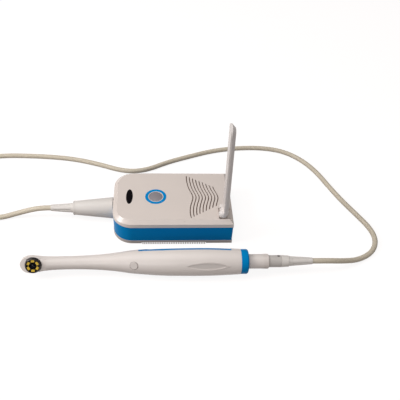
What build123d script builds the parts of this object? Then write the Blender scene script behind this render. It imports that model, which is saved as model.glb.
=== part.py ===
from build123d import *
import math
import os

os.makedirs("parts", exist_ok=True)

# Everything is in millimetres. The handpiece lies along +X with its lens end at the left, the
# transmitter box stands behind it (+Y), and both rest on the plane Z = 0.

# Handpiece
grip_r = 12.45            # radius at the thickest place of the grip
body_l = 200.0            # from the head's tip to the end of the ring
front_tilt = 30.0         # the lens and the button look this far above the horizontal
shell_wall = 1.7
ring_l = 8.2
ring_r = 11.1
facet_h = 4.8             # height of the head's flat above the handpiece's axis
facet_l = 22.5
lens_s = 11.8             # distance of the lens's axis from the tip
bezel_r = 7.2
capture_s = 98.1
capture_r = 3.3
capture_travel = 0.6
label_s = 162.2
label_l = 38.5
label_w = 7.6
cover_from = 101.5        # the blue back cover's two ends
cover_to = 183.5
cover_edge_h = 0.9        # its edges run this far in front of the axis
sleeve_r = 6.5
sleeve_l = 17.3

# Transmitter box
box_l = 111.8
box_w = 71.3
box_h = 27.9
box_gap = 33.2            # from the handpiece's axis to the box's front
box_from = 76.6           # from the handpiece's tip to the box's left end
corner_r = 18.5           # round corners at the cable end
edge_r = 1.2              # sharp corners at the antenna end
base_z = 0.3              # the feet lift the base this far
band_z = 3.8
cover_z = 21.15
bevel_w = 3.83
bevel_h = 2.84            # also the thickness of the box's roof
box_wall = 2.0
button_x = 40.0
button_y = 34.6
button_r = 6.35
button_travel = 1.0
sensor_x = 15.1
sensor_l = 20.0
sensor_w = 6.4
vent_count = 9
vent_pitch = 3.0
vent_w = 0.95
comb_count = 37
comb_pitch = 1.66
plug_y = 35.6
plug_z = 12.0

# Antenna
hinge_x = 102.2
hinge_z = 30.6
hinge_r = 4.4
blade_y0 = 5.0
blade_w = 13.6
blade_top = 129.0
lug_w = 4.6
pin_r = 1.2

# Cable
cable_r = 2.5
relief_end = 257.1        # from the handpiece's tip to where the cable leaves its strain relief
plug_end = 60.0           # from the box's left end to where the cable leaves the plug's relief
coil_x = -202.0
coil_y = 67.0
coil_out = 40.0
coil_in = 20.0
coil_h = 10.0

# The origin is the middle of the handpiece and box, on the surface they stand on.
tip_x = -(body_l + sleeve_l) / 2
axis_y = -(grip_r + box_gap + box_w) / 2 + grip_r
box_x = tip_x + box_from
box_y = axis_y + box_gap
hand = Plane(
    origin=(tip_x, axis_y, grip_r),
    x_dir=(1, 0, 0),
    z_dir=(0, -math.cos(math.radians(front_tilt)), math.sin(math.radians(front_tilt))),
)
# Its x runs along the handpiece and its y towards the front.
side = Plane(origin=hand.origin, x_dir=hand.x_dir, z_dir=-hand.y_dir)
box_mid = Plane(origin=(box_x + box_l / 2, box_y + box_w / 2, 0))


def write(piece, name):
    """Labels a finished piece and writes it to its own file."""
    piece.part.label = name
    export_step(piece.part, f"parts/{name}.step")


def station(s, height=0.0):
    """Gives the cross-section plane of the handpiece at s from its tip, normal to its axis."""
    return Plane(origin=hand.from_local_coords((s, 0, height)), x_dir=hand.y_dir, z_dir=(1, 0, 0))


def facing(s, height):
    """Gives the plane over the handpiece's front at s from its tip, height above its axis."""
    return Plane(origin=hand.from_local_coords((s, 0, height)), x_dir=(1, 0, 0), z_dir=hand.z_dir)


def in_box(x, y, z):
    """Gives the level plane at a place measured from the box's front left corner."""
    return Plane(origin=(box_x + x, box_y + y, z))


def slab(plane, length, width, height, mode=Mode.ADD):
    """Adds or cuts a block that stands on the plane's origin."""
    with BuildSketch(plane) as foot:
        Rectangle(length, width)
    extrude(foot.sketch, amount=height, mode=mode)


def disc(plane, r, height, mode=Mode.ADD):
    """Adds or cuts a round block that stands on the plane's origin."""
    with BuildSketch(plane) as foot:
        Circle(r)
    extrude(foot.sketch, amount=height, mode=mode)


def turned(plane, axis_dir, *points):
    """Revolves a closed outline, drawn on the plane, about the line through its origin."""
    with BuildSketch(plane) as profile:
        with BuildLine():
            Polyline(*points, close=True)
        make_face()
    revolve(profile.sketch, axis=Axis(plane.origin, axis_dir))


def flutes(plane, start, end, count, r):
    """Cuts long flutes from start to end, both (along, radius) on a taper along the plane's x."""
    for k in range(count):
        slope = plane.rotated((360.0 * k / count, 0, 0))
        first = slope.from_local_coords((start[0], start[1], 0))
        last = slope.from_local_coords((end[0], end[1], 0))
        with BuildSketch(Plane(origin=first, z_dir=last - first)) as groove:
            Circle(r)
        extrude(groove.sketch, amount=(last - first).length, mode=Mode.SUBTRACT)


def footprint(inset=0.0):
    """Draws the box's plan: two round corners at the cable end, two sharp ones at the other."""
    plate = Rectangle(box_l - 2 * inset, box_w - 2 * inset)
    corners = plate.vertices().sort_by(Axis.X)
    fillet(corners[:2], corner_r - inset)
    fillet(corners[2:], max(edge_r - inset, 0.3))


def leaf(length, width):
    """Draws a leaf: two equal arcs that meet in points."""
    with BuildLine() as rim:
        ThreePointArc((-length / 2, 0), (0, width / 2), (length / 2, 0))
        ThreePointArc((length / 2, 0), (0, -width / 2), (-length / 2, 0))
    make_face(rim.line)


# Distance from the tip, radius, and how far the section's centre stands in front of the axis.
outline = [
    (0.06, 0.8, 2.3),
    (0.5, 2.3, 2.3),
    (1.5, 4.1, 2.3),
    (3.2, 6.0, 2.3),
    (6.0, 7.35, 2.3),
    (9.5, 7.8, 2.2),
    (14.0, 7.35, 1.9),
    (20.0, 6.45, 1.2),
    (28.0, 5.95, 0.4),
    (40.0, 5.8, -0.3),
    (55.0, 6.05, -0.8),
    (70.0, 6.95, -1.2),
    (82.0, 8.2, -1.4),
    (92.0, 9.65, -1.4),
    (103.0, 10.8, -1.1),
    (118.0, 11.75, -0.5),
    (136.0, 12.3, -0.1),
    (152.0, grip_r, 0.0),
    (168.0, 12.3, 0.0),
    (181.0, 11.8, 0.0),
    (body_l - ring_l, 11.3, 0.0),
]


def body(sections, inset):
    """Lofts the handpiece's form through round sections, drawn in by inset."""
    slices = []
    for s, r, height in sections:
        with BuildSketch(station(s, height)) as slice_:
            Circle(r - inset)
        slices.append(slice_.sketch)
    loft(slices)


# The shell is one moulding: head, neck, the front of the grip and the collar at its end.
with BuildPart() as inner_form:
    body([(s, r, h) for s, r, h in outline if 5 < s < 185] + [(189.0, 11.4, 0.0)], shell_wall)

with BuildPart() as back_region:
    with BuildSketch(side):
        with BuildLine():
            Line((cover_from, cover_edge_h), (cover_to, cover_edge_h))
            Line((cover_to, cover_edge_h), (cover_to, -16))
            Line((cover_to, -16), (cover_from + 22, -16))
            ThreePointArc((cover_from + 22, -16), (cover_from + 9, -6.5), (cover_from, cover_edge_h))
        make_face()
    extrude(amount=20, both=True)

with BuildPart() as handpiece_shell:
    body(outline, 0)
    add(inner_form.part, mode=Mode.SUBTRACT)
    # Flat of the head, with the bore that takes the lens unit.
    with BuildSketch(facing(facet_l / 2 - 5, facet_h)):
        Rectangle(facet_l + 10, 30)
    extrude(amount=12, mode=Mode.SUBTRACT)
    with BuildSketch(facing(lens_s, facet_h)):
        Circle(6.25)
    extrude(amount=-5, mode=Mode.SUBTRACT)
    # Leaf-shaped label recess and the button's hole.
    with BuildSketch(facing(label_s, grip_r - 0.95)):
        leaf(label_l, label_w)
    extrude(amount=5, mode=Mode.SUBTRACT)
    with BuildSketch(facing(capture_s, 4)):
        Circle(capture_r + 0.2)
    extrude(amount=12, mode=Mode.SUBTRACT)
    # Two bulkheads press the board down, each with a way through for the wires.
    for s, r in ((112.0, 10.4), (176.0, 10.8)):
        with BuildSketch(station(s)):
            Circle(r)
            with Locations((0, -r)):
                Rectangle(3 * r, 2 * r, mode=Mode.SUBTRACT)
            Circle(4.5, mode=Mode.SUBTRACT)
        extrude(amount=1.6)
    add(back_region.part, mode=Mode.SUBTRACT)
    # End wall with the bore of the rear sleeve.
    disc(station(188.6), 11.0, body_l - ring_l - 188.6)
    disc(station(186.0), sleeve_r, 10.0, Mode.SUBTRACT)
write(handpiece_shell, "handpiece_shell")

with BuildPart() as back_cover:
    body([section for section in outline if section[0] > 90], 0.35)
    add(back_region.part, mode=Mode.INTERSECT)
    add(inner_form.part, mode=Mode.SUBTRACT)
write(back_cover, "back_cover")

with BuildPart() as label_plate:
    with BuildSketch(facing(label_s, grip_r - 0.95)):
        leaf(label_l - 0.8, label_w - 0.3)
    extrude(amount=0.3)
write(label_plate, "label_plate")

with BuildPart() as end_ring:
    with BuildSketch(station(body_l - ring_l)):
        Circle(ring_r)
        Circle(sleeve_r, mode=Mode.SUBTRACT)
    extrude(amount=ring_l)
    rims = end_ring.edges().filter_by(GeomType.CIRCLE).group_by(Axis.X)[-1]
    fillet(rims.sort_by(SortBy.RADIUS)[-1], 2.5)
write(end_ring, "end_ring")

with BuildPart() as rear_sleeve:
    collar = body_l + 12.0
    end = body_l + sleeve_l
    turned(
        side, hand.x_dir,
        (190.0, 4.6), (190.0, sleeve_r), (collar, sleeve_r), (collar, sleeve_r + 0.15),
        (end - 0.7, sleeve_r + 0.15), (end, sleeve_r - 0.5), (end, 4.6),
    )
    for k in range(4):
        with BuildSketch(station(collar + 0.7 + 1.0 * k)):
            Circle(sleeve_r + 1)
            Circle(sleeve_r - 0.1, mode=Mode.SUBTRACT)
        extrude(amount=0.35, mode=Mode.SUBTRACT)
write(rear_sleeve, "rear_sleeve")

# Lens unit: everything stands on the lens's axis, and heights count from the handpiece's axis.
lens = facing(lens_s, 0)
lens_side = Plane(origin=lens.origin, x_dir=(1, 0, 0), z_dir=side.z_dir)

with BuildPart() as lens_bezel:
    turned(
        lens_side, hand.z_dir,
        (4.4, 1.5), (6.2, 1.5), (6.2, facet_h), (bezel_r, facet_h), (bezel_r, facet_h + 0.6),
        (6.35, 7.7), (6.1, 7.9), (5.75, 7.9), (5.75, 7.3), (5.6, 7.3), (5.6, 6.0), (5.0, 6.0),
        (5.0, 3.0), (4.4, 3.0),
    )
write(lens_bezel, "lens_bezel")

with BuildPart() as lens_window:
    disc(lens.offset(7.3), 5.7, 0.5)
write(lens_window, "lens_window")

with BuildPart() as light_board:
    with BuildSketch(lens.offset(6.0)):
        Circle(5.55)
        Circle(3.1, mode=Mode.SUBTRACT)
    extrude(amount=0.8)
write(light_board, "light_board")

for k in range(6):
    with BuildPart() as led:
        with BuildSketch(lens.offset(6.8)):
            with Locations(Rotation(0, 0, 60 * k) * Location((4.3, 0))):
                Rectangle(2.0, 2.8)
        extrude(amount=0.4)
        fillet(led.edges().filter_by(Axis(lens.origin, lens.z_dir)), 0.3)
    write(led, f"led_{k + 1}")

with BuildPart() as lens_barrel:
    turned(
        lens_side, hand.z_dir,
        (0, -0.8), (3.0, -0.8), (3.0, 3.0), (4.9, 3.0), (4.9, 4.0), (3.0, 4.0), (3.0, 6.6),
        (2.3, 6.6), (1.6, 5.6), (0.9, 5.9), (0, 6.0),
    )
write(lens_barrel, "lens_barrel")

with BuildPart() as image_sensor:
    slab(lens.offset(-1.7), 5.6, 5.6, 0.9)
write(image_sensor, "image_sensor")

with BuildPart() as sensor_board:
    slab(lens.offset(-2.5), 7.0, 7.0, 0.8)
write(sensor_board, "sensor_board")

# Button unit: the flange stays under the shell, and the switch stands on the board.
with BuildPart() as capture_button:
    disc(facing(capture_s, 4.9), capture_r + 1.1, 1.0)
    disc(facing(capture_s, 4.9), capture_r, 4.3)
    top_edge = capture_button.edges().filter_by(GeomType.CIRCLE).sort_by(Axis(hand.origin, hand.z_dir))
    fillet(top_edge[-1], 0.45)
write(capture_button, "capture_button")

with BuildPart() as capture_switch:
    slab(facing(capture_s, 0), 6.0, 6.0, 3.0)
    disc(facing(capture_s, 3.0), 1.7, 1.2)
write(capture_switch, "capture_switch")

with BuildPart() as handpiece_board:
    with BuildSketch(facing(66, -1)):
        with BuildLine():
            Polyline((0, -3.5), (24, -3.5), (32, -7), (120, -7), (120, 7), (32, 7), (24, 3.5),
                     (0, 3.5), close=True)
        make_face()
    extrude(amount=1)
write(handpiece_board, "handpiece_board")

# Connector at the handpiece's end.
with BuildPart() as handpiece_plug_barrel:
    turned(
        side, hand.x_dir,
        (205.0, 3.4), (205.0, 4.5), (217.3, 4.5), (217.3, 5.0), (217.7, 5.42), (228.4, 5.42),
        (228.7, 5.1), (228.7, 0), (209.0, 0), (209.0, 3.4),
    )
    mark = side.rotated((-73, 0, 0))
    spot = mark.from_local_coords((226.7, 5.15, 0))
    disc(Plane(origin=spot, z_dir=mark.y_dir), 0.8, 1.0, Mode.SUBTRACT)
write(handpiece_plug_barrel, "handpiece_plug_barrel")

with BuildPart() as handpiece_plug_cap:
    turned(
        side, hand.x_dir,
        (228.7, 0), (228.7, 5.0), (229.1, 5.4), (234.6, 5.1), (235.6, 4.9), (236.0, 4.5), (236.0, 0),
    )
write(handpiece_plug_cap, "handpiece_plug_cap")

with BuildPart() as handpiece_strain_relief:
    turned(
        side, hand.x_dir,
        (236.0, 0), (236.0, 4.2), (237.0, 4.5), (239.5, 4.35), (relief_end, 2.85), (relief_end, 0),
    )
    flutes(side, (240.5, 4.75), (254.0, 3.65), 8, 0.75)
write(handpiece_strain_relief, "handpiece_strain_relief")

# Transmitter box.
posts = [(10.0, 10.0), (10.0, box_w - 10.0), (box_l - 8.0, 8.0), (box_l - 8.0, box_w - 8.0)]
feet = [(22.0, 18.0), (22.0, box_w - 18.0), (92.0, 14.0), (92.0, box_w - 14.0)]
cavity_z = box_h - bevel_h
button_plane = in_box(button_x, button_y, 0)
button_side = Plane(origin=button_plane.origin, x_dir=(1, 0, 0), z_dir=(0, -1, 0))
sensor_plane = Plane(origin=in_box(sensor_x, button_y, 0).origin, x_dir=(0, 1, 0), z_dir=(0, 0, 1))
plug_side = Plane(origin=in_box(0, plug_y, plug_z).origin, x_dir=(1, 0, 0), z_dir=(0, -1, 0))
hinge_side = Plane(origin=in_box(hinge_x, 0, hinge_z).origin, x_dir=(1, 0, 0), z_dir=(0, -1, 0))
lug_y = 9.6

# One wave of the vent slots, from the back of the box to its front, and the field they fill.
wave = [(70.2, 64.3), (70.6, 53.0), (72.8, 43.0), (75.3, 34.0), (73.6, 25.5), (72.0, 14.0), (72.9, 6.1)]
field = [(65.0, 67.7), (102.0, 44.6), (102.0, 25.1), (65.0, 1.0)]

with BuildPart() as box_top_cover:
    with BuildSketch(box_mid.offset(cover_z)):
        footprint()
    extrude(amount=cavity_z - cover_z)
    top_face = box_top_cover.faces().sort_by(Axis.Z)[-1]
    extrude(top_face, amount=bevel_h, taper=math.degrees(math.atan(bevel_w / bevel_h)))
    with BuildSketch(box_mid.offset(cover_z)):
        footprint(2.2)
    extrude(amount=cavity_z - cover_z, mode=Mode.SUBTRACT)
    # Bosses for the screws, and a block that carries the hinge.
    for x, y in posts:
        disc(in_box(x, y, 15.6), 3.2, cavity_z - 15.6)
        disc(in_box(x, y, 15.6), 1.1, 6.4, Mode.SUBTRACT)
    slab(in_box(102.5, 11.5, 22.5), 15.0, 19.0, 4.0)
    slab(in_box(102.5 + 2.0, 11.8, 25.9), 14.6, 14.4, 5.0, Mode.SUBTRACT)
    with BuildSketch(hinge_side.offset(-lug_y)):
        Circle(3.0)
        with Locations((0, -2.6)):
            Rectangle(6.0, 5.2)
    extrude(amount=-lug_w)
    with BuildSketch(hinge_side.offset(-lug_y)):
        Circle(pin_r + 0.05)
    extrude(amount=-lug_w, mode=Mode.SUBTRACT)
    # Power button's hole with the groove of its ring, and the sensor's window.
    disc(button_plane.offset(cavity_z), button_r + 0.2, 5.0, Mode.SUBTRACT)
    with BuildSketch(button_plane.offset(box_h - 1.0)):
        Circle(10.09)
        Circle(7.87, mode=Mode.SUBTRACT)
    extrude(amount=1.0, mode=Mode.SUBTRACT)
    with BuildSketch(sensor_plane.offset(cavity_z)):
        leaf(sensor_l, sensor_w)
    extrude(amount=5.0, mode=Mode.SUBTRACT)
    # Wavy vent slots, side by side, trimmed to their field.
    with BuildSketch(in_box(0, 0, cavity_z)):
        for k in range(vent_count):
            with BuildLine():
                Spline(*[(x + vent_pitch * k, y) for x, y in wave])
            trace(line_width=vent_w)
        Polygon(*field, align=None, mode=Mode.INTERSECT)
    extrude(amount=5.0, mode=Mode.SUBTRACT)
write(box_top_cover, "box_top_cover")

with BuildPart() as box_band:
    with BuildSketch(box_mid.offset(band_z)):
        footprint(0.3)
        footprint_in = 0.3 + box_wall
    extrude(amount=cover_z - band_z)
    with BuildSketch(box_mid.offset(band_z)):
        footprint(footprint_in)
    extrude(amount=cover_z - band_z, mode=Mode.SUBTRACT)
    disc(Plane(origin=plug_side.origin, z_dir=(1, 0, 0)), 7.4, 8.0, Mode.SUBTRACT)
write(box_band, "box_band")

with BuildPart() as box_base:
    with BuildSketch(box_mid.offset(base_z)):
        footprint()
    extrude(amount=band_z - base_z)
    with BuildSketch(box_mid.offset(base_z + 1.8)):
        footprint(0.3 + box_wall)
    extrude(amount=band_z, mode=Mode.SUBTRACT)
    # Inner lip that centres the band, with a gap for the camera's socket.
    with BuildSketch(box_mid.offset(base_z + 1.8)):
        footprint(0.3 + box_wall)
        with BuildSketch(box_mid, mode=Mode.SUBTRACT):
            footprint(1.5 + box_wall)
    extrude(amount=3.2)
    slab(in_box(3.0, plug_y, base_z + 1.8), 6.0, 19.0, 4.0, Mode.SUBTRACT)
    for x, y in posts:
        disc(in_box(x, y, base_z), 3.4, 14.0 - base_z)
        disc(in_box(x, y, base_z), 1.3, 14.0 - base_z, Mode.SUBTRACT)
        disc(in_box(x, y, base_z), 2.4, 1.0, Mode.SUBTRACT)
    for x, y in feet:
        disc(in_box(x, y, base_z), 4.1, 0.5, Mode.SUBTRACT)
    # Comb of fine notches along the lower front edge.
    with BuildSketch(in_box(27.2 + comb_pitch * (comb_count - 1) / 2, 0, base_z)):
        with GridLocations(comb_pitch, 1, comb_count, 1):
            Rectangle(0.8, 2.4)
    extrude(amount=1.6, mode=Mode.SUBTRACT)
write(box_base, "box_base")

with BuildPart() as button_ring:
    with BuildSketch(button_plane.offset(box_h - 1.0)):
        Circle(10.05)
        Circle(7.9, mode=Mode.SUBTRACT)
    extrude(amount=1.15)
    fillet(button_ring.edges().group_by(Axis.Z)[-1], 0.3)
write(button_ring, "button_ring")

dome_r = 22.85
dome_top = 28.4
dome_arc = math.degrees(math.asin(button_r / dome_r))

with BuildPart() as power_button:
    with BuildSketch(button_side):
        with BuildLine():
            dome = CenterArc((0, dome_top - dome_r), dome_r, 90 - dome_arc, dome_arc)
            Line((0, 21.6), (2.2, 21.6))
            Line((2.2, 21.6), (2.2, 24.0))
            Line((2.2, 24.0), (button_r + 1.05, 24.0))
            Line((button_r + 1.05, 24.0), (button_r + 1.05, cavity_z - 0.1))
            Line((button_r + 1.05, cavity_z - 0.1), (button_r, cavity_z - 0.1))
            Line((button_r, cavity_z - 0.1), dome @ 0)
            Line(dome @ 1, (0, 21.6))
        make_face()
    revolve(axis=Axis(button_plane.origin, (0, 0, 1)))
write(power_button, "power_button")

with BuildPart() as power_switch:
    slab(button_plane.offset(15.6), 6.0, 6.0, 3.6)
    disc(button_plane.offset(19.2), 1.75, 1.2)
write(power_switch, "power_switch")

with BuildPart() as sensor_window:
    with BuildSketch(sensor_plane.offset(cavity_z - 1.0)):
        leaf(sensor_l + 3.0, sensor_w + 2.6)
    extrude(amount=1.0)
    with BuildSketch(sensor_plane.offset(cavity_z - 1.0)):
        leaf(sensor_l - 0.1, sensor_w - 0.06)
    extrude(amount=bevel_h + 0.85)
write(sensor_window, "sensor_window")

with BuildPart() as camera_socket:
    turned(
        plug_side, (1, 0, 0),
        (0.3, 6.05), (0.3, 7.35), (2.3, 7.35), (2.3, 8.6), (4.0, 8.6), (4.0, 7.4), (12.0, 7.4),
        (12.0, 0), (10.5, 0), (10.5, 6.05),
    )
write(camera_socket, "camera_socket")

with BuildPart() as main_board:
    with BuildSketch(box_mid.offset(14.0)):
        footprint(4.5)
    extrude(amount=1.6)
    slab(in_box(7.0, plug_y, 14.0), 14.0, 19.0, 1.6, Mode.SUBTRACT)
    for x, y in posts:
        disc(in_box(x, y, 14.0), 1.4, 1.6, Mode.SUBTRACT)
write(main_board, "main_board")

with BuildPart() as radio_module:
    slab(in_box(78.0, 46.0, 15.6), 24.0, 18.0, 2.6)
    chamfer(radio_module.edges().group_by(Axis.Z)[-1], 0.4)
write(radio_module, "radio_module")

with BuildPart() as battery_pack:
    slab(in_box(60.0, box_w / 2, base_z + 1.8), 60.0, 40.0, 8.0)
    fillet(battery_pack.edges().filter_by(Axis.X), 2.5)
write(battery_pack, "battery_pack")

with BuildPart() as base_screws:
    for x, y in posts:
        disc(in_box(x, y, base_z + 0.2), 2.2, 0.8)
        disc(in_box(x, y, base_z + 1.0), 1.1, 19.0)
        for turn in (0, 90):
            slot_plane = in_box(x, y, base_z + 0.2).rotated((0, 0, turn))
            slab(slot_plane, 2.4, 0.5, 0.5, Mode.SUBTRACT)
write(base_screws, "base_screws")

for number, (x, y) in enumerate(feet, 1):
    with BuildPart() as rubber_foot:
        disc(in_box(x, y, 0), 4.0, base_z + 0.5)
        fillet(rubber_foot.edges().group_by(Axis.Z)[0], 0.25)
    write(rubber_foot, f"rubber_foot_{number}")

# Antenna. Its blade leans a little over the box, and its hinge lies along Y.
lean = math.radians(1.03)
blade_plane = Plane(
    origin=in_box(hinge_x + 0.24, blade_y0 + blade_w / 2, hinge_z).origin,
    x_dir=(0, 1, 0),
    z_dir=(math.cos(lean), 0, math.sin(lean)),
)
blade_t = 4.5
blade_l = (blade_top - hinge_z) / math.cos(lean)
round_r = blade_w / 2

with BuildPart() as antenna_blade:
    with BuildSketch(blade_plane):
        with BuildLine():
            Line((-round_r, 0), (round_r, 0))
            Line((round_r, 0), (round_r, blade_l - round_r))
            ThreePointArc((round_r, blade_l - round_r), (0, blade_l), (-round_r, blade_l - round_r))
            Line((-round_r, blade_l - round_r), (-round_r, 0))
        make_face()
    extrude(amount=blade_t)
    # The outer face has a wide bevel along both sides and round the top.
    outer = antenna_blade.faces().sort_by(Axis(blade_plane.origin, blade_plane.z_dir))[-1]
    rim_edges = outer.edges().sort_by(Axis.Z)[1:]
    chamfer(rim_edges, 3.5, 3.05, reference=outer)
    # Barrel round the hinge's axis, domed at the front and tapered to the back.
    with BuildSketch(Plane(origin=hinge_side.origin, x_dir=(0, 1, 0), z_dir=(1, 0, 0))) as barrel:
        with BuildLine():
            Line((4.9, 0), (18.6, 0))
            Line((18.6, 0), (18.6, 2.9))
            Line((18.6, 2.9), (12.0, hinge_r))
            Line((12.0, hinge_r), (8.6, hinge_r))
            ThreePointArc((8.6, hinge_r), (6.0, 3.2), (4.9, 0))
        make_face()
    revolve(axis=Axis(hinge_side.origin, (0, 1, 0)))
    # Slot that takes the box's lug through the whole fold, and the pin's bore.
    with BuildSketch(hinge_side.offset(-lug_y + 0.2)):
        Circle(3.4)
        with Locations((-1.3, -1.3)):
            Rectangle(9.4, 9.4)
    extrude(amount=-lug_w - 0.4, mode=Mode.SUBTRACT)
    with BuildSketch(hinge_side.offset(-6.5)):
        Circle(pin_r)
    extrude(amount=-10.5, mode=Mode.SUBTRACT)
    # Sealed pocket for the radiator.
    with BuildSketch(blade_plane.offset(1.5)):
        with Locations((0, 50.0)):
            Rectangle(6.0, 78.0)
    extrude(amount=1.0, mode=Mode.SUBTRACT)
write(antenna_blade, "antenna_blade")

with BuildPart() as antenna_radiator:
    with BuildSketch(blade_plane.offset(1.5)):
        with Locations((0, 49.95)):
            Rectangle(5.9, 77.9)
    extrude(amount=0.95)
write(antenna_radiator, "antenna_radiator")

with BuildPart() as hinge_pin:
    with BuildSketch(hinge_side.offset(-6.5)):
        Circle(pin_r)
    extrude(amount=-10.5)
write(hinge_pin, "hinge_pin")

# Plug on the box's left side.
with BuildPart() as box_plug_barrel:
    turned(
        plug_side, (1, 0, 0),
        (-6.0, 0), (-6.0, 6.0), (5.6, 6.0), (6.0, 5.6), (6.0, 5.0), (1.0, 5.0), (1.0, 0),
    )
write(box_plug_barrel, "box_plug_barrel")

with BuildPart() as box_plug_shell:
    turned(
        plug_side, (1, 0, 0),
        (-38.6, 0), (-38.6, 4.5), (-38.2, 5.0), (-37.2, 5.0), (-37.2, 5.7), (-36.5, 6.35),
        (-1.6, 9.6), (-1.2, 9.3), (-1.2, 8.7), (-2.6, 8.3), (-2.6, 6.0), (-6.0, 6.0), (-6.0, 0),
    )
write(box_plug_shell, "box_plug_shell")

with BuildPart() as box_plug_strain_relief:
    turned(
        plug_side, (1, 0, 0),
        (-38.6, 0), (-38.6, 4.2), (-plug_end, 2.75), (-plug_end, 0),
    )
    flutes(plug_side, (-40.5, 4.55), (-57.0, 3.45), 8, 0.7)
write(box_plug_strain_relief, "box_plug_strain_relief")

# Cable. It leaves the handpiece, runs round behind the box to the coil, and comes back to the plug.
floor = cable_r + 0.05
front_route = [
    (tip_x + relief_end, axis_y, grip_r), (163.5, axis_y, grip_r), (180.5, -42.5, 7.6),
    (196.5, -37.0, floor), (211.5, -28.6, floor), (219.8, -14.4, floor), (219.2, 2.0, floor),
    (209.1, 23.2, floor), (198.7, 43.9, floor), (189.4, 67.3, floor), (182.1, 87.4, floor),
    (169.6, 107.7, floor), (150.8, 123.3, floor), (126.1, 129.0, floor), (98.1, 128.2, floor),
    (70.5, 122.9, floor), (44.9, 113.0, floor), (20.8, 103.0, floor), (-3.2, 89.0, floor),
    (-25.3, 87.1, floor), (-55.0, 99.6, floor), (-80.9, 107.4, floor), (-107.0, 111.0, floor),
    (-133.0, 112.4, floor), (-150.5, 112.6, floor), (-165.0, 110.9, floor), (-178.0, 105.0, floor),
    (-192.1, 104.5, floor),
]
back_route = [
    (-192.1, 29.5, 7.5), (-176.0, 29.3, 4.4), (-159.0, 21.0, floor), (-141.5, 18.4, floor),
    (-126.5, 22.6, 4.4), (-112.0, 22.9, 9.3), (-100.5, box_y + plug_y, plug_z),
    (box_x - plug_end, box_y + plug_y, plug_z),
]


def corner_arcs(route):
    """Gives each corner the largest radius that its two runs leave room for."""
    radii = []
    for before, here, after in zip(route, route[1:], route[2:]):
        run_in = Vector(*here) - Vector(*before)
        run_out = Vector(*after) - Vector(*here)
        shorter = min(run_in.length, run_out.length)
        half_turn = math.radians(run_in.get_angle(run_out) / 2)
        radii.append(0.45 * shorter / math.tan(half_turn))
    return radii


for name, route in (("cable_front", front_route), ("cable_back", back_route)):
    radii = corner_arcs(route)
    with BuildPart() as cable:
        with BuildLine():
            line = FilletPolyline(*route, radius=radii)
        with BuildSketch(Plane(line ^ 0)):
            Circle(cable_r)
        sweep()
    write(cable, name)
    print(name, "radii", [round(r, 1) for r in radii])
    print("length", round(line.length, 1), "volume", round(cable.part.volume, 1),
          "section times length", round(math.pi * cable_r ** 2 * line.length, 1))

with BuildPart() as cable_coil:
    with BuildSketch(Plane(origin=(coil_x, coil_y, 0), x_dir=(1, 0, 0), z_dir=(0, -1, 0))):
        with Locations(((coil_in + coil_out) / 2, coil_h / 2)):
            RectangleRounded(coil_out - coil_in, coil_h, 2.2)
    revolve(axis=Axis((coil_x, coil_y, 0), (0, 0, 1)))
write(cable_coil, "cable_coil")
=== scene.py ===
"""Intraoral camera with its transmitter box: finishes, cable, small lens parts, floor, light and view."""

import math

import bmesh
import bpy
from bpy.props import FloatProperty, FloatVectorProperty, IntProperty, PointerProperty
from mathutils import Matrix, Vector


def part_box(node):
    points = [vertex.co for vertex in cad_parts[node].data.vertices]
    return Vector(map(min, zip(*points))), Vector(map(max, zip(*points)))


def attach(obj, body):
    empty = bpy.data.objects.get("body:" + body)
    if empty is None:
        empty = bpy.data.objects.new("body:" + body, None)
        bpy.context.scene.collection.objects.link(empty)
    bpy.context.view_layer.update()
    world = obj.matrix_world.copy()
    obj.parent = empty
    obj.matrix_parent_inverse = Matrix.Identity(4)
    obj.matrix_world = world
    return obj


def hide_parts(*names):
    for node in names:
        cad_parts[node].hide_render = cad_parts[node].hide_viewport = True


bl_info = {
    "name": "Intraoral Camera",
    "version": (1, 0, 0),
    "blender": (4, 5, 0),
    "location": "3D View > Sidebar > Dental Camera",
    "description": "Dresses a dental camera and its transmitter box, lays its cable and lights them",
    "category": "Add Mesh",
}

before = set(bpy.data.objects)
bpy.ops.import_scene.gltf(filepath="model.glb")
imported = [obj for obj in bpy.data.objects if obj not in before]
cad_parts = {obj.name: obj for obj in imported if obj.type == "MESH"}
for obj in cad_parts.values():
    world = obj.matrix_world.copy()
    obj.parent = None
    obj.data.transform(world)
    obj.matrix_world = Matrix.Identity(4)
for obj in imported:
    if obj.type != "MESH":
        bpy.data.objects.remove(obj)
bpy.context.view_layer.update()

MM = 0.001
ROOT = "camera_set"
BLACK = (0.0, 0.0, 0.0)
WHITE = (1.0, 1.0, 1.0)

# The cable's route in metres: first from the handpiece to the coil, then from the coil to the box.
FRONT_ROUTE = [
    (0.14845, -0.046025, 0.01245), (0.1635, -0.046025, 0.01245), (0.1805, -0.0425, 0.0076),
    (0.1965, -0.037, 0.00255), (0.2115, -0.0286, 0.00255), (0.2198, -0.0144, 0.00255),
    (0.2192, 0.002, 0.00255), (0.2091, 0.0232, 0.00255), (0.1987, 0.0439, 0.00255),
    (0.1894, 0.0673, 0.00255), (0.1821, 0.0874, 0.00255), (0.1696, 0.1077, 0.00255),
    (0.1508, 0.1233, 0.00255), (0.1261, 0.129, 0.00255), (0.0981, 0.1282, 0.00255),
    (0.0705, 0.1229, 0.00255), (0.0449, 0.113, 0.00255), (0.0208, 0.103, 0.00255),
    (-0.0032, 0.089, 0.00255), (-0.0253, 0.0871, 0.00255), (-0.055, 0.0996, 0.00255),
    (-0.0809, 0.1074, 0.00255), (-0.107, 0.111, 0.00255), (-0.133, 0.1124, 0.00255),
    (-0.1505, 0.1126, 0.00255), (-0.165, 0.1109, 0.00255), (-0.178, 0.105, 0.00255),
    (-0.1921, 0.1045, 0.00255),
]
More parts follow.
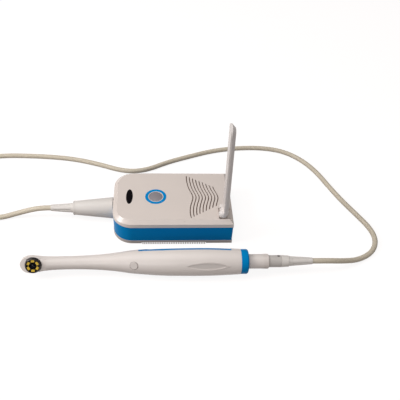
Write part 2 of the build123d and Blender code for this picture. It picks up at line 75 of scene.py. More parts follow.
BACK_ROUTE = [
    (-0.1921, 0.0295, 0.0075), (-0.176, 0.0293, 0.0044), (-0.159, 0.021, 0.00255),
    (-0.1415, 0.0184, 0.00255), (-0.1265, 0.0226, 0.0044), (-0.112, 0.0229, 0.0093),
    (-0.1005, 0.022775, 0.012), (-0.09205, 0.022775, 0.012),
]

# The handpiece: its tip on the axis, and its directions along, across and to the front, where the
# lens looks. Places on it are in millimetres, behind the tip and in front of the axis.
HAND = Vector((-0.10865, -0.046025, 0.01245))
ALONG = Vector((1.0, 0.0, 0.0))
ACROSS = Vector((0.0, math.sin(math.radians(30)), math.cos(math.radians(30))))
LENS_AXIS = Vector((0.0, -math.cos(math.radians(30)), math.sin(math.radians(30))))
LENS_AT = 11.8
CAPTURE_AT = 98.1
LABEL_AT = 162.2
COVER_FROM = 101.5
COVER_TO = 183.5

# The box: its front left corner on the floor. Places on it are in millimetres from there.
BOX = Vector((-0.03205, -0.012825, 0.0))
SENSOR_AT = (15.1, 34.6, 0.0)
BUTTON_AT = (40.0, 34.6, 0.0)

# The box's plug: where its axis meets the left wall, and what the cable carries at both ends.
PLUG_AXIS = BOX + Vector((0.0, 0.0356, 0.012))
PLUG_NODES = ["handpiece_plug_barrel", "handpiece_plug_cap", "box_plug_barrel"]
PLUG_PIECES = ["handpiece_relief_ribbed", "box_plug_cone", "box_plug_relief_ribbed"]


# Shader maths

class Signal:
    """A value inside a shader, so that its maths reads as an expression."""

    def __init__(self, tree, socket):
        self.tree = tree
        self.socket = socket

    def math(self, operation, first, second):
        node = self.tree.nodes.new("ShaderNodeMath")
        node.operation = operation
        connect(self.tree, first, node.inputs[0])
        connect(self.tree, second, node.inputs[1])
        return Signal(self.tree, node.outputs[0])

    def __add__(self, other):
        return self.math("ADD", self, other)

    def __radd__(self, other):
        return self.math("ADD", other, self)

    def __rsub__(self, other):
        return self.math("SUBTRACT", other, self)

    def __mul__(self, other):
        return self.math("MULTIPLY", self, other)

    def __gt__(self, other):
        return self.math("GREATER_THAN", self, other)

    def __lt__(self, other):
        return self.math("LESS_THAN", self, other)


def connect(tree, source, socket):
    """Links a signal to a socket, or sets the socket to a plain value."""
    if isinstance(source, Signal):
        tree.links.new(source.socket, socket)
    else:
        socket.default_value = source


class Finish:
    """A material: its shader, and one method that adds any other node."""

    def __init__(self, name, color, roughness, **fixed):
        self.material = bpy.data.materials.new(name)
        self.material.use_nodes = True
        self.material.diffuse_color = (*color, 1.0)
        self.tree = self.material.node_tree
        self.shader = self.tree.nodes["Principled BSDF"]
        self.set("Base Color", (*color, 1.0))
        self.set("Roughness", roughness)
        for socket, value in fixed.items():
            self.set(socket.replace("_", " ").title().replace("Ior", "IOR"), value)

    def set(self, socket, source):
        connect(self.tree, source, self.shader.inputs[socket])

    def node(self, kind, settings, inputs, output=0):
        """Adds a node, sets its settings first and its sockets next, and gives one output."""
        node = self.tree.nodes.new(kind)
        for key, value in settings.items():
            setattr(node, key, value)
        for key, source in inputs.items():
            connect(self.tree, source, node.inputs[key])
        return Signal(self.tree, node.outputs[output])

    def spot(self):
        """Object coordinates."""
        return self.node("ShaderNodeTexCoord", {}, {}, "Object")

    def place(self, scale=(1.0, 1.0, 1.0)):
        """Object coordinates, stretched by scale."""
        return self.node("ShaderNodeMapping", {}, {"Vector": self.spot(), "Scale": scale}, "Vector")

    def measure(self, operation, target):
        """Distance of the surface from a place, or its reach along a direction."""
        inputs = {0: self.spot(), 1: tuple(target)}
        return self.node("ShaderNodeVectorMath", {"operation": operation}, inputs, "Value")

    def noise(self, scale, detail=2.0, rough=0.5, stretch=(1.0, 1.0, 1.0)):
        inputs = {"Vector": self.place(stretch), "Scale": scale, "Detail": detail, "Roughness": rough}
        return self.node("ShaderNodeTexNoise", {}, inputs, 0)

    def blend(self, mask, first, second):
        """Mixes two colours, or signals of colour, by a mask."""
        first, second = (tone if isinstance(tone, Signal) else (*tone, 1.0) for tone in (first, second))
        return self.node("ShaderNodeMix", {"data_type": "RGBA"}, {0: mask, 6: first, 7: second}, 2)

    def relief(self, height, strength, distance):
        """Raises the surface by a height signal."""
        inputs = {"Height": height, "Strength": strength, "Distance": distance}
        self.set("Normal", self.node("ShaderNodeBump", {}, inputs, "Normal"))

    def cloudy(self, color):
        """A moulded piece's colour, with faint darker and lighter clouds."""
        return self.blend(self.noise(38.0, 3.0), toward(color, BLACK, 0.045), toward(color, BLACK, -0.02))

    def grained(self, gloss, grain=2600.0, depth=0.00002):
        """A moulded piece's surface: uneven gloss and a fine spark-eroded grain."""
        self.set("Roughness", gloss + self.noise(140.0, 4.0, 0.6) * 0.1)
        self.relief(self.noise(grain, 2.0), 0.18, depth)


def toward(color, other, share):
    """A colour moved a share of the way towards another, or away from it by a negative share."""
    return tuple(a + (b - a) * share for a, b in zip(color, other))


# Finishes

def moulded(name, color, roughness, grain=2600.0, depth=0.00002, **fixed):
    """Injection-moulded plastic: faint cloudy colour, uneven gloss and a fine grain."""
    finish = Finish(name, color, roughness, **fixed)
    finish.set("Base Color", finish.cloudy(color))
    finish.grained(roughness - 0.05, grain, depth)
    return finish.material


def striped_shell(name, color, stripe):
    """The shell's white, with the blue of the back cover carried a little past the joint, and painted shade
    in the joint round the capture button.
    """
    stripe_front = 2.3      # the blue reaches this far in front of the axis
    stripe_full = 122.0     # from here on it has its full width
    stripe_taper = 0.09     # and nearer to the tip it narrows this fast
    joint_shade_front, joint_shade_r = 9.0, 3.75    # painted shade in the joint round the capture button
    finish = Finish(name, color, 0.34)
    front = finish.measure("DOT_PRODUCT", LENS_AXIS)
    along = finish.measure("DOT_PRODUCT", ALONG)
    ahead = (HAND.x + stripe_full * MM) - along
    narrowing = ahead.math("MAXIMUM", ahead, 0.0) * stripe_taper
    edge = HAND.dot(LENS_AXIS) + stripe_front * MM
    covered = (along > HAND.x + COVER_FROM * MM) * (along < HAND.x + COVER_TO * MM)
    striped = finish.blend((front + narrowing < edge) * covered, finish.cloudy(color), stripe)
    # A dark disc on the shell round the capture button: painted shade in the joint.
    joint_shade = finish.measure("DISTANCE", on_hand(CAPTURE_AT, joint_shade_front)) < joint_shade_r * MM
    finish.set("Base Color", finish.blend(joint_shade, striped, toward(color, (0.2, 0.15, 0.13), 0.72)))
    finish.grained(0.29)
    return finish.material


def clear_cover(name):
    """Clear window: it lets most light through and shows the sheen of its front."""
    finish = Finish(name, (0.02, 0.02, 0.03), 0.03, alpha=0.05, specular_ior_level=0.3)
    finish.set("Roughness", 0.015 + finish.noise(160.0, 3.0) * 0.04)
    return finish.material


def coated_glass(name):
    """Dark glass of the small lens, with a faint uneven coating."""
    dark, bluish = (0.002, 0.002, 0.004), (0.004, 0.003, 0.008)
    finish = Finish(name, dark, 0.08, specular_ior_level=0.25)
    coating = finish.noise(700.0, 2.0)
    finish.set("Base Color", finish.blend(coating, dark, bluish))
    finish.set("Roughness", 0.06 + coating * 0.04)
    return finish.material


def phosphor(name, color):
    """Yellow phosphor of a light diode: grainy, with a faint painted glow of its own."""
    finish = Finish(name, color, 0.35, emission_strength=0.3)
    grains = finish.noise(5200.0, 3.0)
    shade = finish.blend(grains, toward(color, BLACK, 0.25), toward(color, (1.0, 0.9, 0.3), 0.2))
    finish.set("Base Color", shade)
    # The grainy colour is also given as a faint painted glow.
    finish.set("Emission Color", shade)
    return finish.material


def circuit(name, color):
    """Circuit board: dark lacquer with thin copper tracks."""
    finish = Finish(name, color, 0.35)
    tracks = finish.node(
        "ShaderNodeTexBrick", {},
        {"Vector": finish.place(), "Scale": 420.0, "Mortar Size": 0.05, "Mortar Smooth": 0.1,
         "Color1": (*BLACK, 1.0), "Color2": (*BLACK, 1.0), "Mortar": (*WHITE, 1.0)}, 1)
    finish.set("Base Color", finish.blend(tracks, color, toward(color, (0.35, 0.2, 0.08), 0.5)))
    finish.set("Roughness", 0.42 - tracks * 0.15)
    finish.relief(tracks, 0.4, 0.00004)
    return finish.material


def bare_metal(name, color, roughness):
    """Turned or stamped metal with fine lines."""
    finish = Finish(name, color, roughness, metallic=1.0)
    lines = finish.noise(900.0, 3.0, 0.6, (0.05, 1.0, 1.0))
    finish.set("Roughness", roughness - 0.06 + lines * 0.14)
    finish.relief(lines, 0.15, 0.00002)
    return finish.material


def dark_turret(name, color):
    """Dark plated ring round the window, with bright spots painted in as glints."""
    finish = Finish(name, color, 0.22, metallic=0.6)
    glint_noise = finish.noise(420.0, 4.0, 0.65)
    painted_glint = toward(color, (0.6, 0.55, 0.52), 0.5)
    # Bright spots in the colour are painted glints of light on the plating; the same noise varies the
    # roughness.
    finish.set("Base Color", finish.blend((glint_noise > 0.62) * 0.7, color, painted_glint))
    finish.set("Roughness", 0.16 + glint_noise * 0.16)
    finish.relief(finish.noise(1800.0, 2.0), 0.1, 0.00002)
    return finish.material


def wrapped_cell(name, color):
    """Shrink-wrapped battery cell, with painted shade in the hollows of its folds."""
    finish = Finish(name, color, 0.3)
    folds_and_shade = finish.noise(60.0, 4.0, 0.6, (0.2, 1.0, 1.0))
    # The hollows of the folds are darkened: painted shade.
    finish.set("Base Color", finish.blend(folds_and_shade, toward(color, BLACK, 0.3), color))
    finish.relief(folds_and_shade, 0.3, 0.0002)
    return finish.material


def jacket(name, color):
    """Cable jacket: soft plastic with faint scuffs and a slightly uneven surface."""
    finish = Finish(name, color, 0.42, specular_ior_level=0.4)
    scuffs = finish.noise(75.0, 4.0, 0.6)
    scuffed = toward(color, (0.25, 0.19, 0.14), 0.1)
    finish.set("Base Color", finish.blend(scuffs, scuffed, toward(color, WHITE, 0.03)))
    finish.set("Roughness", 0.36 + scuffs * 0.14)
    finish.relief(finish.noise(900.0, 2.0), 0.14, 0.00005)
    return finish.material


def marked_barrel(name, color):
    """Grey plug barrel with its small dark index mark."""
    mark_at, mark_r = 226.0, 1.25
    barrel_r = 5.3
    mark_side = Vector((0.0, 0.35, 0.93))
    finish = Finish(name, color, 0.38)
    mark = HAND + ALONG * mark_at * MM + mark_side * barrel_r * MM
    marked = finish.measure("DISTANCE", mark) < mark_r * MM
    finish.set("Base Color", finish.blend(marked, color, (0.06, 0.045, 0.045)))
    finish.grained(0.33)
    return finish.material


def foot_rubber(name, color):
    """Dull rubber with a dusty, pitted surface."""
    finish = Finish(name, color, 0.75)
    dust = finish.noise(300.0, 4.0, 0.6)
    finish.set("Base Color", finish.blend(dust, color, toward(color, (0.4, 0.37, 0.34), 0.25)))
    finish.relief(finish.noise(1500.0, 3.0), 0.3, 0.00005)
    return finish.material


# What a user may change

def colour(name, description, default):
    return FloatVectorProperty(
        name=name, description=description, default=default, subtype="COLOR", size=3, min=0.0, max=1.0)


class CameraFinish(bpy.types.PropertyGroup):
    """Colours of the moulded pieces."""
    shell: colour("Shell", "Handpiece, sleeve and plug cap", (0.71, 0.64, 0.60))
    cover: colour("Box cover", "Top cover of the transmitter box", (0.665, 0.580, 0.530))
    accent: colour("Accent", "Blue covers, band and rings", (0.0, 0.215, 0.52))
    base: colour("Base", "Base of the box", (0.50, 0.44, 0.41))
    antenna: colour("Antenna", "Folding antenna", (0.72, 0.66, 0.63))
    plugs: colour("Plugs", "Plug cap, plug shell and strain reliefs", (0.68, 0.63, 0.59))
    grey: colour("Grey", "Power button", (0.24, 0.215, 0.23))
    barrel: colour("Barrel", "Plug barrel of the handpiece", (0.50, 0.46, 0.43))
    jacket: colour("Cable", "Cable jacket", (0.57, 0.495, 0.385))
    phosphor: colour("Lights", "Phosphor of the light diodes", (0.6, 0.36, 0.0))


class CableSizes(bpy.types.PropertyGroup):
    """Sizes of the free cable."""
    diameter: FloatProperty(
        name="Diameter", description="Outer diameter of the jacket", default=0.005, unit="LENGTH")
    length: FloatProperty(
        name="Length", description="Whole length from the handpiece to the box", default=2.1,
        unit="LENGTH")
    turns: IntProperty(name="Turns", description="Whole turns in each layer of the coil", default=3)
    points: IntProperty(name="Points", description="Route points on each turn", default=16)
    outer: FloatProperty(
        name="Outer turn", description="Radius of the coil's outermost turn", default=0.0375,
        unit="LENGTH")
    inner: FloatProperty(
        name="Inner turn", description="Radius of the innermost full turn", default=0.0225,
        unit="LENGTH")


class StageSetup(bpy.types.PropertyGroup):
    """Light, floor and view."""
    focal: FloatProperty(name="Focal length", description="Lens of the view", default=50.0, unit="CAMERA")
    yaw: FloatProperty(
        name="Yaw", description="View's turn to the right of straight ahead",
        default=math.radians(5.881), subtype="ANGLE")
    down: FloatProperty(
        name="Down", description="View's angle below the horizon",
        default=math.radians(43.69), subtype="ANGLE")
    roll: FloatProperty(
        name="Roll", description="Tilt of the view", default=math.radians(4.066), subtype="ANGLE")
    eye: FloatVectorProperty(
        name="Eye", description="Place of the view", default=(0.010743, -0.36268, 0.392547),
        subtype="TRANSLATION", unit="LENGTH")
    sky: FloatProperty(name="Sky", description="Strength of the light from all round", default=0.3)
    key: FloatProperty(
        name="Key", description="Strength of the main lamp", default=5.0, unit="POWER")
    fill: FloatProperty(
        name="Fill", description="Strength of the overhead lamp", default=3.0, unit="POWER")
    front: FloatProperty(
        name="Front", description="Strength of the lamp near the view", default=2.4, unit="POWER")


# Meshes

def new_piece(name, mesh, material, smooth=True):
    """Stores a bmesh as an object that sits at the origin."""
    data = bpy.data.meshes.new(name)
    mesh.to_mesh(data)
    mesh.free()
    data.materials.append(material)
    if smooth:
        data.shade_smooth()
        data.set_sharp_from_angle(angle=math.radians(32))
    piece = bpy.data.objects.new(name, data)
    bpy.context.scene.collection.objects.link(piece)
    return piece


def turned_piece(name, material, outline, origin, axis, steps=64):
    """Spins an outline of (radius, height) points in millimetres about an axis and closes it."""
    mesh = bmesh.new()
    verts = [mesh.verts.new((r * MM, 0.0, h * MM)) for r, h in outline]
    for first, second in zip(verts, verts[1:]):
        mesh.edges.new((first, second))
    bmesh.ops.spin(
        mesh, geom=mesh.verts[:] + mesh.edges[:], cent=(0, 0, 0), axis=(0, 0, 1),
        angle=math.tau, steps=steps, use_merge=True, use_duplicate=False)
    bmesh.ops.remove_doubles(mesh, verts=mesh.verts, dist=1e-7)
    bmesh.ops.recalc_face_normals(mesh, faces=mesh.faces)
    turn = Vector((0, 0, 1)).rotation_difference(Vector(axis)).to_matrix().to_4x4()
    bmesh.ops.transform(mesh, matrix=Matrix.Translation(origin) @ turn, verts=mesh.verts)
    return new_piece(name, mesh, material)


def break_edges(mesh, width, segments):
    """Bevels every edge by a width in millimetres."""
    bmesh.ops.bevel(
        mesh, geom=mesh.edges[:], offset=width * MM, offset_type="OFFSET", segments=segments, profile=0.5,
        affect="EDGES", material=-1)


def thicken(mesh, faces, height):
    """Raises flat faces into a closed slab, with a height in millimetres."""
    raised = bmesh.ops.extrude_face_region(mesh, geom=faces)["geom"]
    tops = [item for item in raised if isinstance(item, bmesh.types.BMVert)]
    bmesh.ops.translate(mesh, vec=(0.0, 0.0, height * MM), verts=tops)
    bmesh.ops.recalc_face_normals(mesh, faces=mesh.faces)


def on_hand(along, front):
    """A place on the handpiece: so far behind its tip and so far in front of its axis."""
    return HAND + (ALONG * along + LENS_AXIS * front) * MM


def in_hand(mesh, along, front):
    """Moves a mesh to its place on the handpiece: x along it, y across it and z to its front."""
    turn = Matrix((ALONG, ACROSS, LENS_AXIS)).transposed().to_4x4()
    bmesh.ops.transform(mesh, matrix=Matrix.Translation(on_hand(along, front)) @ turn, verts=mesh.verts)
    return mesh


def on_box(place):
    """A place on the box, given in millimetres from its front left corner."""
    return BOX + Vector(place) * MM


def dress(material, *names):
    """Gives CAD nodes a material."""
    for name in names:
        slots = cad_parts[name].data.materials
        slots.clear()
        slots.append(material)


# Operators

class DENTAL_OT_handpiece(bpy.types.Operator):
    """Finish the handpiece's shell, cover, rings, boards and button"""
    bl_idname = "dental.handpiece"
    bl_label = "Finish Handpiece"

    def execute(self, context):
        colours = context.scene.camera_finish
        shell, accent = tuple(colours.shell), tuple(colours.accent)
        white = moulded("shell_white", shell, 0.34)
        blue = moulded("accent_blue", accent, 0.3, specular_ior_level=0.04)
        dress(striped_shell("shell_striped", shell, accent), "handpiece_shell")
        dress(white, "rear_sleeve", "capture_button")
        dress(moulded("label_white", toward(shell, BLACK, 0.2), 0.45), "label_plate")
        dress(blue, "back_cover")
        self.end_ring(blue)
        self.head_web(white)
        self.label_rim(white)
        board = circuit("board_green", (0.012, 0.05, 0.03))
        dress(board, "handpiece_board", "sensor_board", "main_board")
        switch = moulded("switch_black", (0.02, 0.02, 0.02), 0.4)
        dress(switch, "capture_switch", "power_switch", "camera_socket")
        return {"FINISHED"}

    @staticmethod
    def end_ring(blue):
        """Ring at the rear of the grip, with a round rear edge."""
        outline = [
            (6.6, 191.8), (11.1, 191.8), (11.1, 197.0), (10.9, 197.7), (10.4, 198.3), (9.6, 198.6),
            (6.6, 198.6), (6.6, 191.8),
        ]
        ring = turned_piece("end_ring_round", blue, outline, HAND, ALONG)
        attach(ring, ROOT)
        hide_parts("end_ring")

    @staticmethod
    def head_web(white):
        """Closes the flat of the head between the lens unit and the neck."""
        web_at, web_front = 20.0, 4.33
        web_l, web_w, web_t = 6.2, 10.4, 1.0
        mesh = bmesh.new()
        bmesh.ops.create_cube(mesh, size=1.0)
        bmesh.ops.scale(mesh, vec=(web_l * MM, web_w * MM, web_t * MM), verts=mesh.verts)
        break_edges(mesh, 0.12, 2)
        piece = new_piece("head_web", in_hand(mesh, web_at, web_front), white)
        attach(piece, ROOT)

    @classmethod
    def label_rim(cls, white):
        """Leaf-shaped rim that frames the bare label plate."""
        rim_front, rim_h = 11.5, 0.7
        mesh = bmesh.new()
        outer = cls.leaf(mesh, 38.4, 7.5)
        inner = cls.leaf(mesh, 36.2, 5.5)
        bmesh.ops.bridge_loops(mesh, edges=outer + inner)
        bmesh.ops.recalc_face_normals(mesh, faces=mesh.faces)
        thicken(mesh, mesh.faces[:], rim_h)
        piece = new_piece("label_rim", in_hand(mesh, LABEL_AT, rim_front), white)
        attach(piece, ROOT)

    @staticmethod
    def leaf(mesh, length, width, steps=32):
        """Closed outline of two equal arcs that meet in points, as a list of its edges."""
        bend = (length * length + width * width) / (4 * width)
        half = math.asin(length / (2 * bend))
        loop = []
        for side in (1, -1):
            for k in range(steps):
                angle = side * (half - 2 * half * k / steps)
                across = side * (bend * math.cos(angle) - bend + width / 2)
                loop.append(mesh.verts.new((-bend * math.sin(angle) * MM, across * MM, 0.0)))
        return [mesh.edges.new((loop[k - 1], loop[k])) for k in range(2 * steps)]


class DENTAL_OT_lens(bpy.types.Operator):
    """Finish the lens unit and add its light diodes and its small front lens"""
    bl_idname = "dental.lens"
    bl_label = "Finish Lens Unit"

    def execute(self, context):
        colours = context.scene.camera_finish
        dress(dark_turret("turret_dark", (0.035, 0.03, 0.03)), "lens_bezel")
        dress(clear_cover("window_clear"), "lens_window")
        board = moulded("board_black", (0.01, 0.009, 0.01), 0.35, specular_ior_level=0.08)
        dress(board, "light_board")
        barrel = moulded("barrel_black", (0.004, 0.004, 0.004), 0.3, specular_ior_level=0.05)
        dress(barrel, "lens_barrel")
        self.diodes(phosphor("phosphor_yellow", tuple(colours.phosphor)))
        steel = bare_metal("sensor_metal", (0.5, 0.5, 0.52), 0.3)
        dress(steel, "image_sensor", "radio_module", "base_screws", "hinge_pin")
        dress(bare_metal("radiator_brass", (0.7, 0.5, 0.22), 0.32), "antenna_radiator")
        self.front_lens(coated_glass("lens_coated"))
        return {"FINISHED"}

    @staticmethod
    def diodes(material):
        """Six light diodes round the lens, the first at its top."""
        count, ring_r, diode_front = 6, 4.3, 7.0
        length, width, height = 2.9, 2.1, 0.4
        size = Matrix.Diagonal((length * MM, width * MM, height * MM, 1.0))
        mesh = bmesh.new()
        for k in range(count):
            turn = Matrix.Rotation(math.tau * k / count, 4, "Z")
            chip = turn @ Matrix.Translation((0.0, ring_r * MM, 0.0)) @ size
            bmesh.ops.create_cube(mesh, size=1.0, matrix=chip)
        break_edges(mesh, 0.15, 2)
        piece = new_piece("light_diodes", in_hand(mesh, LENS_AT, diode_front), material, smooth=False)
        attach(piece, ROOT)
        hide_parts(*[f"led_{k}" for k in range(1, count + 1)])

    @staticmethod
    def front_lens(glass):
        """Small domed lens in the middle of the light diodes."""
        lens_front = 6.4
        dome = [(0.0, 0.25), (0.5, 0.2), (0.9, 0.08), (1.3, -0.15), (1.3, -0.4), (0.0, -0.4)]
        lens = turned_piece("front_lens", glass, dome, on_hand(LENS_AT, lens_front), LENS_AXIS)
        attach(lens, ROOT)


class DENTAL_OT_box(bpy.types.Operator):
    """Finish the transmitter box"""
    bl_idname = "dental.box"
    bl_label = "Finish Transmitter Box"

    def execute(self, context):
        colours = context.scene.camera_finish
        accent = tuple(colours.accent)
        cover = moulded(
            "cover_white", tuple(colours.cover), 0.4, 3200.0, 0.00003, coat_weight=0.45, coat_roughness=0.16)
        dress(cover, "box_top_cover")
        self.button_ring(moulded("ring_blue", accent, 0.3, specular_ior_level=0.04))
        dress(moulded("band_blue", accent, 0.32, specular_ior_level=0.03), "box_band")
        base = moulded("base_white", tuple(colours.base), 0.5)
        dress(base, "box_base")
        self.comb(base)
        self.hinge_shim(cover)
        dress(moulded("button_grey", tuple(colours.grey), 0.38), "power_button")
        self.sensor(moulded("sensor_black", (0.004, 0.003, 0.004), 0.2, specular_ior_level=0.06))
        # A brown sheet under the slots stands in for the shade inside them: painted shade.
        self.vent_cloth(moulded("vent_shade_brown", (0.16, 0.105, 0.085), 0.9, specular_ior_level=0.1))
        dress(wrapped_cell("cell_wrap", (0.05, 0.07, 0.2)), "battery_pack")
        feet = [f"rubber_foot_{k}" for k in range(1, 5)]
        dress(foot_rubber("foot_black", (0.03, 0.03, 0.03)), *feet)
        return {"FINISHED"}

    @staticmethod
    def button_ring(blue):
        """Blue ring round the power button."""
        outline = [
            (7.2, 27.2), (10.05, 27.2), (10.05, 27.95), (9.85, 28.1), (7.4, 28.1), (7.2, 27.95), (7.2, 27.2),
        ]
        ring = turned_piece("button_ring_wide", blue, outline, on_box(BUTTON_AT), (0, 0, 1))
        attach(ring, ROOT)
        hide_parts("button_ring")

    @classmethod
    def comb(cls, material):
        """Fine teeth along the lower front edge of the base."""
        count, pitch = 36, 1.66
        first, front, height = 27.2 + 0.83, -0.25, 1.05
        tooth = 0.85, 1.5, 1.8
        places = [(first + pitch * k, front, height) for k in range(count)]
        cls.blocks("base_comb", material, places, tooth, "base_shell")

    @classmethod
    def hinge_shim(cls, material):
        """Fills the left end of the antenna's pocket, which the cover has slightly too wide."""
        middle = 97.8, 11.8, 26.88
        shim = 1.3, 14.4, 2.0
        cls.blocks("hinge_shim", material, [middle], shim, "white_shell")

    @staticmethod
    def blocks(name, material, places, size, slot):
        """Small blocks of one size with broken edges, given by their middles on the box."""
        shape = Matrix.Diagonal((*[side * MM for side in size], 1.0))
        mesh = bmesh.new()
        for middle in places:
            bmesh.ops.create_cube(mesh, size=1.0, matrix=Matrix.Translation(on_box(middle)) @ shape)
        break_edges(mesh, 0.06, 1)
        piece = new_piece(name, mesh, material, smooth=False)
        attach(piece, ROOT)

    @staticmethod
    def sensor(material):
        """Dark oval window, slightly domed, over the sensor's opening."""
        narrow = 0.32    # its width as a share of its length
        dome = [(10.0, 26.0), (10.0, 27.92), (9.7, 28.02), (7.0, 28.1), (0.0, 28.15)]
        piece = turned_piece("sensor_oval", material, dome, (0, 0, 0), (0, 0, 1))
        piece.data.transform(
            Matrix.Translation(on_box(SENSOR_AT)) @ Matrix.Diagonal((narrow, 1.0, 1.0, 1.0)))
        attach(piece, ROOT)
        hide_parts("sensor_window")

    @staticmethod
    def vent_cloth(material):
        """Brown sheet close under the wavy slots: painted shade seen through them."""
        sheet_z, sheet_t = 26.3, 0.6
        field = [(66.0, 66.5), (101.5, 44.3), (101.5, 25.4), (66.0, 2.2)]
        mesh = bmesh.new()
        sheet = mesh.faces.new([mesh.verts.new(on_box((x, y, sheet_z))) for x, y in field])
        thicken(mesh, [sheet], sheet_t)
        piece = new_piece("vent_cloth", mesh, material, smooth=False)
        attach(piece, ROOT)


class DENTAL_OT_antenna(bpy.types.Operator):
    """Finish the folding antenna"""
    bl_idname = "dental.antenna"
    bl_label = "Finish Antenna"

    def execute(self, context):
        colours = context.scene.camera_finish
        dress(moulded("antenna_white", tuple(colours.antenna), 0.42), "antenna_blade")
        return {"FINISHED"}


class DENTAL_OT_plugs(bpy.types.Operator):
    """Finish the plugs and strain reliefs at both ends of the cable"""
    bl_idname = "dental.plugs"
    bl_label = "Finish Plugs"

    def execute(self, context):
        colours = context.scene.camera_finish
        white = moulded("plug_white", tuple(colours.plugs), 0.42)
        dress(white, "handpiece_plug_cap")
        self.cone(white)
        at_box = PLUG_AXIS, (-38.6, -60.0), (4.75, 3.05)
        at_hand = HAND, (236.0, 257.1), (4.5, 3.0)
        self.relief("box_plug_relief_ribbed", "box_plug_strain_relief", white, *at_box)
        self.relief("handpiece_relief_ribbed", "handpiece_strain_relief", white, *at_hand)
        dress(marked_barrel("barrel_grey", tuple(colours.barrel)), "handpiece_plug_barrel")
        dress(moulded("plug_black", (0.015, 0.015, 0.016), 0.35), "box_plug_barrel")
        return {"FINISHED"}

    @staticmethod
    def cone(white):
        """Cone-shaped shell of the box's plug, with a small rim at its rear and a hollow front."""
        outline = [
            (0.0, -38.6), (6.5, -38.6), (6.85, -38.3), (6.85, -37.2), (6.7, -37.0), (10.3, -1.4),
            (10.2, -1.0), (9.6, -0.9), (9.2, -1.7), (6.1, -2.0), (6.1, -6.0), (0.0, -6.0),
        ]
        shell = turned_piece("box_plug_cone", white, outline, PLUG_AXIS, ALONG)
        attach(shell, ROOT)
        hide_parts("box_plug_shell")

    @staticmethod
    def relief(name, node, material, origin, ends, radii):
        """Tapered strain relief with long wedge-shaped recesses that widen towards the plug."""
        steps, spokes = 40, 144
        recesses, recess_depth = 6, 0.5
        wide, taper = 17.0, 12.0            # half of a recess's angle, and what it loses to the tip
        recess_from, recess_to = 0.12, 0.86
        start, end = ends
        thick, thin = radii
        shares = [k / steps for k in range(steps + 1)]
        side = [(thick + (thin - thick) * share, start + (end - start) * share) for share in shares]
        outline = [(0.0, start), *side, (0.0, end)]
        piece = turned_piece(name, material, outline, (0, 0, 0), (0, 0, 1), steps=spokes)
        sector = 360.0 / recesses
        for vert in piece.data.vertices:
            share = (vert.co.z / MM - start) / (end - start)
            reach = math.hypot(vert.co.x, vert.co.y)
            turn = math.degrees(math.atan2(vert.co.y, vert.co.x)) % sector - sector / 2
            recessed = recess_from < share < recess_to and reach > 1.0 * MM
            if recessed and abs(turn) < wide - taper * share:
                vert.co.x *= 1.0 - recess_depth * MM / reach
                vert.co.y *= 1.0 - recess_depth * MM / reach
        lay = Vector((0, 0, 1)).rotation_difference(ALONG).to_matrix().to_4x4()
        roll = Matrix.Rotation(math.radians(-13.0), 4, "X")
        piece.data.transform(Matrix.Translation(origin) @ roll @ lay)
        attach(piece, ROOT)
        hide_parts(node)


class DENTAL_OT_cable(bpy.types.Operator):
    """Lay the cable along its route, with the put-away length in a coil"""
    bl_idname = "dental.cable"
    bl_label = "Lay Cable"

    def execute(self, context):
        sizes = context.scene.cable_sizes
        radius = sizes.diameter / 2
        low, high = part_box("cable_coil")
        route = [Vector(p) for p in FRONT_ROUTE]
        route += self.coil(sizes, (low + high) / 2, radius)
        route += [Vector(p) for p in BACK_ROUTE]
        curve = bpy.data.curves.new("cable", "CURVE")
        curve.dimensions = "3D"
        curve.bevel_depth = radius
        curve.bevel_resolution = 6
        curve.resolution_u = 8
        curve.use_fill_caps = True
        spline = curve.splines.new("NURBS")
        spline.points.add(len(route) - 1)
        for point, place in zip(spline.points, route):
            point.co = (*place, 1.0)
        spline.order_u = 3
        spline.use_endpoint_u = True
        curve.materials.append(jacket("cable_jacket", tuple(context.scene.camera_finish.jacket)))
        cable = bpy.data.objects.new("cable", curve)
        context.scene.collection.objects.link(cable)
        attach(cable, ROOT)
        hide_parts("cable_front", "cable_coil", "cable_back")
        plugs = [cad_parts[name] for name in PLUG_NODES]
        plugs += [bpy.data.objects[name] for name in PLUG_PIECES]
        return {"FINISHED"}

    @staticmethod
    def coil(sizes, centre, radius):
        """Route points of the coil: in along the floor, up through one turn, out on top, half a turn more."""
        step = 1.0 / sizes.points
        swell = 1.0 / math.cos(math.pi * step)
        total = 2 * sizes.turns + 1.5
        lower = radius + 0.05 * MM
        upper = 3 * radius
        points = []
        for k in range(1, round(total * sizes.points)):
            turn = k * step
            if turn < sizes.turns:
                reach = sizes.outer + (sizes.inner - sizes.outer) * turn / sizes.turns
                height = lower
            elif turn < sizes.turns + 1:
                rise = turn - sizes.turns
                reach = sizes.inner - radius * math.sin(math.pi * rise)
                height = lower + (upper - lower) * (1 - math.cos(math.pi * rise)) / 2
            else:
                out = min((turn - sizes.turns - 1) / sizes.turns, 1.0)
                reach = sizes.inner + (sizes.outer - sizes.inner) * out
                height = upper
            angle = math.pi / 2 + math.tau * turn
            points.append(Vector((
                centre.x + swell * reach * math.cos(angle),
                centre.y + swell * reach * math.sin(angle),
                height,
            )))
        return points


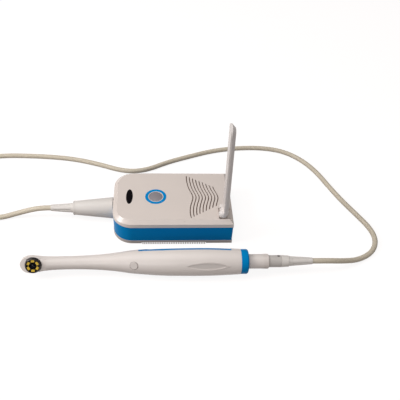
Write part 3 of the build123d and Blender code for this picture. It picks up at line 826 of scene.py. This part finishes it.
class DENTAL_OT_stage(bpy.types.Operator):
    """Add the pale floor, the soft light and the view"""
    bl_idname = "dental.stage"
    bl_label = "Set Stage"

    def execute(self, context):
        setup = context.scene.stage_setup
        self.floor()
        self.sky(context.scene, setup.sky)
        self.lamp("key_lamp", (-0.72, -0.1, 0.62), 0.4, setup.key)
        self.lamp("fill_lamp", (-0.12, 0.05, 0.95), 0.8, setup.fill)
        self.lamp("front_lamp", (-0.3, -0.9, 0.6), 0.6, setup.front)
        self.view(context.scene, setup)
        context.scene.view_settings.view_transform = "Standard"
        return {"FINISHED"}

    @staticmethod
    def view(scene, setup):
        view = bpy.data.cameras.new("view")
        view.sensor_width = 36.0
        view.lens = setup.focal
        view.clip_start = 0.01
        eye = bpy.data.objects.new("view", view)
        scene.collection.objects.link(eye)
        turn = Matrix.Rotation(-setup.yaw, 4, "Z") @ Matrix.Rotation(math.pi / 2 - setup.down, 4, "X")
        eye.matrix_world = Matrix.Translation(setup.eye) @ turn @ Matrix.Rotation(setup.roll, 4, "Z")
        scene.camera = eye

    @staticmethod
    def floor():
        """Pale floor that looks white to the view and in reflections, and takes the shadows."""
        white_share = 0.88
        mesh = bmesh.new()
        bmesh.ops.create_grid(mesh, x_segments=1, y_segments=1, size=4.0)
        finish = Finish("floor_pale", (0.2, 0.17, 0.16), 0.9, specular_ior_level=0.0)
        seen = finish.node("ShaderNodeLightPath", {}, {}, "Is Camera Ray")
        glossy = finish.node("ShaderNodeLightPath", {}, {}, "Is Glossy Ray")
        through = finish.node("ShaderNodeLightPath", {}, {}, "Is Transmission Ray")
        finish.set("Emission Color", (*WHITE, 1.0))
        finish.set("Emission Strength", (seen + glossy + through) * white_share)
        floor = new_piece("floor", mesh, finish.material, smooth=False)

    @staticmethod
    def sky(scene, strength):
        """World that lights the set evenly and looks white to the view."""
        world = bpy.data.worlds.new("studio")
        world.use_nodes = True
        scene.world = world
        tree = world.node_tree
        back = tree.nodes["Background"]
        back.inputs["Color"].default_value = (*WHITE, 1.0)
        rays = tree.nodes.new("ShaderNodeLightPath")
        seen = Signal(tree, rays.outputs["Is Camera Ray"])
        through = Signal(tree, rays.outputs["Is Transmission Ray"])
        bright = seen + through
        connect(tree, strength + bright * (1.0 - strength), back.inputs["Strength"])

    @staticmethod
    def lamp(name, place, size, power):
        """Round soft lamp, turned to the middle of the set."""
        light = bpy.data.lights.new(name, "AREA")
        light.shape = "DISK"
        light.size = size
        light.energy = power
        lamp = bpy.data.objects.new(name, light)
        lamp.location = place
        aim = Vector((0.03, 0.0, 0.0)) - Vector(place)
        lamp.rotation_euler = aim.to_track_quat("-Z", "Y").to_euler()
        bpy.context.scene.collection.objects.link(lamp)


STEPS = [
    DENTAL_OT_stage, DENTAL_OT_plugs, DENTAL_OT_cable, DENTAL_OT_handpiece, DENTAL_OT_lens, DENTAL_OT_box,
    DENTAL_OT_antenna,
]


class DENTAL_PT_panel(bpy.types.Panel):
    """Lists the steps and what a user may change in the sidebar"""
    bl_label = "Dental Camera"
    bl_idname = "DENTAL_PT_panel"
    bl_space_type = "VIEW_3D"
    bl_region_type = "UI"
    bl_category = "Dental Camera"

    def draw(self, context):
        for step in STEPS:
            self.layout.operator(step.bl_idname)
        for group in (context.scene.camera_finish, context.scene.cable_sizes, context.scene.stage_setup):
            box = self.layout.box()
            for name in group.bl_rna.properties.keys():
                if name not in ("rna_type", "name"):
                    box.prop(group, name)


CLASSES = [CameraFinish, CableSizes, StageSetup, *STEPS, DENTAL_PT_panel]


def register():
    for item in CLASSES:
        bpy.utils.register_class(item)
    bpy.types.Scene.camera_finish = PointerProperty(type=CameraFinish)
    bpy.types.Scene.cable_sizes = PointerProperty(type=CableSizes)
    bpy.types.Scene.stage_setup = PointerProperty(type=StageSetup)


def unregister():
    del bpy.types.Scene.stage_setup
    del bpy.types.Scene.cable_sizes
    del bpy.types.Scene.camera_finish
    for item in reversed(CLASSES):
        bpy.utils.unregister_class(item)


def main():
    register()
    bpy.ops.dental.stage()
    bpy.ops.dental.plugs()
    bpy.ops.dental.cable()
    bpy.ops.dental.handpiece()
    bpy.ops.dental.lens()
    bpy.ops.dental.box()
    bpy.ops.dental.antenna()


if __name__ == "__main__":
    main()
